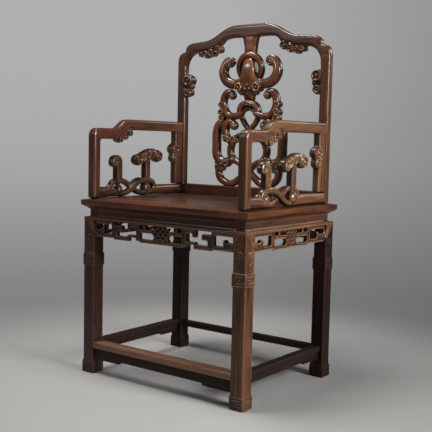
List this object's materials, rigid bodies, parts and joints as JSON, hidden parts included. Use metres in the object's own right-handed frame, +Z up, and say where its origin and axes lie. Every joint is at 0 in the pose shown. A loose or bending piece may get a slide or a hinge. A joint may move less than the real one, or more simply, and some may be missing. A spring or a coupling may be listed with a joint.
{
  "type": "square back carved armchair",
  "caption": "Chinese hardwood armchair with a stepped, arched crest rail, an openwork scroll splat, square scrolled arms and legs on stretchers.",
  "frame": {"origin": "on the floor, under the middle of the seat", "axes": "+Z up, the front of the chair faces -Y, +X is the sitter's left"},
  "size_m": [0.576, 0.449, 1.0188],
  "materials": {
    "frame_rosewood": "polished, dark red brown with fine grain",
    "carved_rosewood": "polished, dark in the hollows",
    "panel_rosewood": "polished and worn by sitting, a little greyer",
    "plain_rosewood": "planed, not polished, under the seat"
  },
  "bodies": {
    "root": {"apron_front": "frame_rosewood", "apron_left": "frame_rosewood", "apron_rear": "frame_rosewood", "apron_right": "frame_rosewood", "arm_left_chain": "carved_rosewood", "arm_left_front_foot_rail": "frame_rosewood", "arm_left_hook": "carved_rosewood", "arm_left_post": "frame_rosewood", "arm_left_rear_foot_rail": "frame_rosewood", "arm_left_t_scroll": "carved_rosewood", "arm_left_top_rail": "frame_rosewood", "arm_left_upright": "frame_rosewood", "arm_right_chain": "carved_rosewood", "arm_right_front_foot_rail": "frame_rosewood", "arm_right_hook": "carved_rosewood", "arm_right_post": "frame_rosewood", "arm_right_rear_foot_rail": "frame_rosewood", "arm_right_t_scroll": "carved_rosewood", "arm_right_top_rail": "frame_rosewood", "arm_right_upright": "frame_rosewood", "back_post_left": "frame_rosewood", "back_post_right": "frame_rosewood", "back_rail_bottom": "frame_rosewood", "crest_rail": "frame_rosewood", "footrest": "frame_rosewood", "footrest_apron": "frame_rosewood", "fret_front": "carved_rosewood", "fret_left": "carved_rosewood", "fret_rear": "carved_rosewood", "fret_right": "carved_rosewood", "leg_front_left": "frame_rosewood", "leg_front_right": "frame_rosewood", "leg_rear_left": "frame_rosewood", "leg_rear_right": "frame_rosewood", "seat_batten_left": "plain_rosewood", "seat_batten_right": "plain_rosewood", "seat_front_rail": "frame_rosewood", "seat_left_rail": "frame_rosewood", "seat_panel": "panel_rosewood", "seat_rear_rail": "frame_rosewood", "seat_right_rail": "frame_rosewood", "splat_bat": "carved_rosewood", "splat_hook_left": "carved_rosewood", "splat_hook_right": "carved_rosewood", "splat_knot": "carved_rosewood", "splat_ring": "carved_rosewood", "splat_scroll_left": "carved_rosewood", "splat_scroll_right": "carved_rosewood", "stretcher_apron_left": "frame_rosewood", "stretcher_apron_right": "frame_rosewood", "stretcher_left": "frame_rosewood", "stretcher_rear": "frame_rosewood", "stretcher_right": "frame_rosewood", "waist_front": "frame_rosewood", "waist_left": "frame_rosewood", "waist_rear": "frame_rosewood", "waist_right": "frame_rosewood"}
  },
  "joints": []
}
